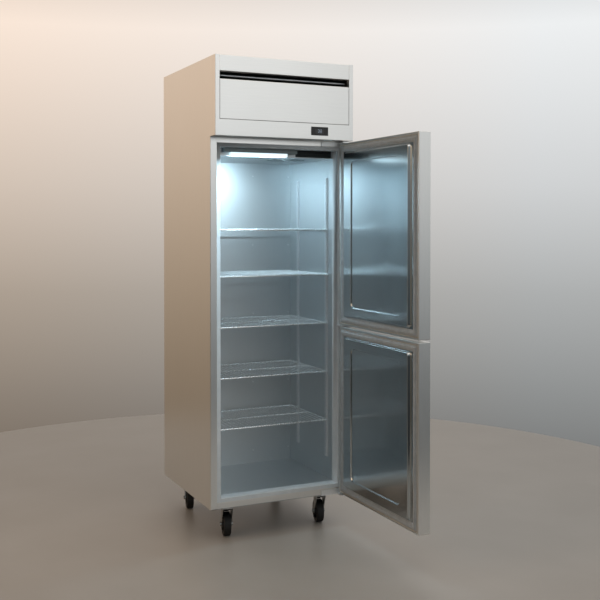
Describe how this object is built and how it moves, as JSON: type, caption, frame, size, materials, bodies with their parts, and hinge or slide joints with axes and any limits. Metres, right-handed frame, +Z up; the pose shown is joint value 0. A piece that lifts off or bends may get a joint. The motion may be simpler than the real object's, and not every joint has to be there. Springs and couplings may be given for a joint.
{
  "type": "reach-in refrigerator",
  "caption": "Upright commercial reach-in refrigerator on casters with two half-height insulated doors standing open, wire shelves and a top-mounted cooling unit.",
  "frame": {"origin": "on the floor, midway between the four casters, under the centre of the insulated box; the doors are stored 90 degrees open and lie in front of it", "axes": "+X to the user's right, +Y towards the back, +Z up"},
  "size_m": [0.647, 1.3115, 2.02],
  "materials": {
    "stainless_outer": "brushed stainless, fine grain",
    "stainless_liner": "bright satin stainless",
    "galvanised_steel": "galvanised",
    "polyurethane_foam": "rigid foam",
    "white_trim": "semi-gloss extrusion",
    "bright_stainless": "bright stainless",
    "chromed_wire": "chrome plated wire",
    "lamp_body": "moulded grey",
    "lamp_lens": "opal lens, lit",
    "aluminium_fin": "mill finish fins",
    "anodised_aluminium": "anodised",
    "black_plastic": "moulded black",
    "black_enamel": "black enamel",
    "fan_blade": "moulded dark grey",
    "copper": "drawn copper tube",
    "gasket_vinyl": "grey vinyl",
    "handle_plastic": "moulded dark grey",
    "nylon": "moulded nylon",
    "zinc_steel": "zinc plated",
    "caster_tread": "black rubber"
  },
  "bodies": {
    "cabinet": {"side_panel_left": "stainless_outer", "side_panel_right": "stainless_outer", "rear_panel": "galvanised_steel", "base_panel": "galvanised_steel", "face_frame": "stainless_outer", "compartment_deck": "galvanised_steel", "foam_insulation": "polyurethane_foam", "liner_shell": "stainless_liner", "rear_duct_panels": "stainless_liner", "breaker_strips": "white_trim", "pilasters": "bright_stainless", "shelf_clips": "bright_stainless", "lamp_housing": "lamp_body", "lamp_diffuser": "lamp_lens", "evaporator_cover": "stainless_liner", "evaporator_coil": "aluminium_fin", "header_frame": "stainless_outer", "header_upper_panel": "stainless_outer", "vent_grille": "black_plastic", "vent_blade": "anodised_aluminium", "controller_case": "black_plastic", "compressor": "black_enamel", "condenser_coil": "aluminium_fin", "fan_motors": "black_enamel", "electrical_box": "galvanised_steel", "refrigerant_lines": "copper", "cord_gland": "black_plastic", "hinge_brackets": "bright_stainless", "caster_plates": "zinc_steel", "screws": "bright_stainless"},
    "service_panel": {"service_panel": "stainless_outer"},
    "condenser_fan": {"condenser_fan": "fan_blade"},
    "evaporator_fan": {"evaporator_fan": "fan_blade"},
    "upper_door": {"upper_door_skin": "stainless_outer", "upper_door_foam": "polyurethane_foam", "upper_door_liner": "stainless_liner", "upper_door_gasket": "gasket_vinyl", "upper_door_handle": "handle_plastic", "upper_door_bushes": "nylon"},
    "lower_door": {"lower_door_skin": "stainless_outer", "lower_door_foam": "polyurethane_foam", "lower_door_liner": "stainless_liner", "lower_door_gasket": "gasket_vinyl", "lower_door_handle": "handle_plastic", "lower_door_bushes": "nylon"},
    "shelf_1": {"shelf_1": "chromed_wire"},
    "shelf_2": {"shelf_2": "chromed_wire"},
    "shelf_3": {"shelf_3": "chromed_wire"},
    "shelf_4": {"shelf_4": "chromed_wire"},
    "shelf_5": {"shelf_5": "chromed_wire"},
    "caster_fl_fork": {"caster_fl_fork": "zinc_steel"},
    "caster_fl_wheel": {"caster_fl_wheel": "caster_tread"},
    "caster_fl_brake": {"caster_fl_brake": "black_enamel"},
    "caster_fr_fork": {"caster_fr_fork": "zinc_steel"},
    "caster_fr_wheel": {"caster_fr_wheel": "caster_tread"},
    "caster_fr_brake": {"caster_fr_brake": "black_enamel"},
    "caster_rl_fork": {"caster_rl_fork": "zinc_steel"},
    "caster_rl_wheel": {"caster_rl_wheel": "caster_tread"},
    "caster_rr_fork": {"caster_rr_fork": "zinc_steel"},
    "caster_rr_wheel": {"caster_rr_wheel": "caster_tread"}
  },
  "joints": [
    {"name": "upper_door_hinge", "type": "hinge", "parent": "cabinet", "child": "upper_door", "pos_m": [0.3025, -0.351, 1.285], "axis": [0, 0, 1], "range_deg": [-90, 30]},
    {"name": "lower_door_hinge", "type": "hinge", "parent": "cabinet", "child": "lower_door", "pos_m": [0.3025, -0.351, 0.516], "axis": [0, 0, 1], "range_deg": [-90, 30]},
    {"name": "service_panel_pivot", "type": "hinge", "parent": "cabinet", "child": "service_panel", "pos_m": [0, -0.367, 1.914], "axis": [-1, 0, 0], "range_deg": [0, 88]},
    {"name": "condenser_fan_spin", "type": "hinge", "parent": "cabinet", "child": "condenser_fan", "pos_m": [0.07, -0.205, 1.898], "axis": [0, 1, 0], "continuous": true},
    {"name": "evaporator_fan_spin", "type": "hinge", "parent": "cabinet", "child": "evaporator_fan", "pos_m": [0.12, -0.1035, 1.641], "axis": [0, 0, 1], "continuous": true},
    {"name": "shelf_1_slide", "type": "slide", "parent": "cabinet", "child": "shelf_1", "axis": [0, -1, 0], "range_m": [0, 0.34]},
    {"name": "shelf_2_slide", "type": "slide", "parent": "cabinet", "child": "shelf_2", "axis": [0, -1, 0], "range_m": [0, 0.34]},
    {"name": "shelf_3_slide", "type": "slide", "parent": "cabinet", "child": "shelf_3", "axis": [0, -1, 0], "range_m": [0, 0.34]},
    {"name": "shelf_4_slide", "type": "slide", "parent": "cabinet", "child": "shelf_4", "axis": [0, -1, 0], "range_m": [0, 0.34]},
    {"name": "shelf_5_slide", "type": "slide", "parent": "cabinet", "child": "shelf_5", "axis": [0, -1, 0], "range_m": [0, 0.34]},
    {"name": "caster_fl_swivel", "type": "hinge", "parent": "cabinet", "child": "caster_fl_fork", "pos_m": [-0.22, -0.251, 0.1297], "axis": [0, 0, 1], "continuous": true},
    {"name": "caster_fl_roll", "type": "hinge", "parent": "caster_fl_fork", "child": "caster_fl_wheel", "pos_m": [-0.21325, -0.22177, 0.05], "axis": [0.9744, -0.225, 0], "continuous": true},
    {"name": "caster_fl_brake_pedal", "type": "hinge", "parent": "caster_fl_fork", "child": "caster_fl_brake", "pos_m": [-0.2155, -0.23151, 0.1167], "axis": [-0.9744, 0.225, 0], "range_deg": [0, 8]},
    {"name": "caster_fr_swivel", "type": "hinge", "parent": "cabinet", "child": "caster_fr_fork", "pos_m": [0.22, -0.251, 0.1297], "axis": [0, 0, 1], "continuous": true},
    {"name": "caster_fr_roll", "type": "hinge", "parent": "caster_fr_fork", "child": "caster_fr_wheel", "pos_m": [0.22675, -0.22177, 0.05], "axis": [0.9744, -0.225, 0], "continuous": true},
    {"name": "caster_fr_brake_pedal", "type": "hinge", "parent": "caster_fr_fork", "child": "caster_fr_brake", "pos_m": [0.2245, -0.23151, 0.1167], "axis": [-0.9744, 0.225, 0], "range_deg": [0, 8]},
    {"name": "caster_rl_swivel", "type": "hinge", "parent": "cabinet", "child": "caster_rl_fork", "pos_m": [-0.22, 0.251, 0.1297], "axis": [0, 0, 1], "continuous": true},
    {"name": "caster_rl_roll", "type": "hinge", "parent": "caster_rl_fork", "child": "caster_rl_wheel", "pos_m": [-0.22675, 0.22177, 0.05], "axis": [-0.9744, 0.225, 0], "continuous": true},
    {"name": "caster_rr_swivel", "type": "hinge", "parent": "cabinet", "child": "caster_rr_fork", "pos_m": [0.22, 0.251, 0.1297], "axis": [0, 0, 1], "continuous": true},
    {"name": "caster_rr_roll", "type": "hinge", "parent": "caster_rr_fork", "child": "caster_rr_wheel", "pos_m": [0.21325, 0.22177, 0.05], "axis": [-0.9744, 0.225, 0], "continuous": true}
  ]
}
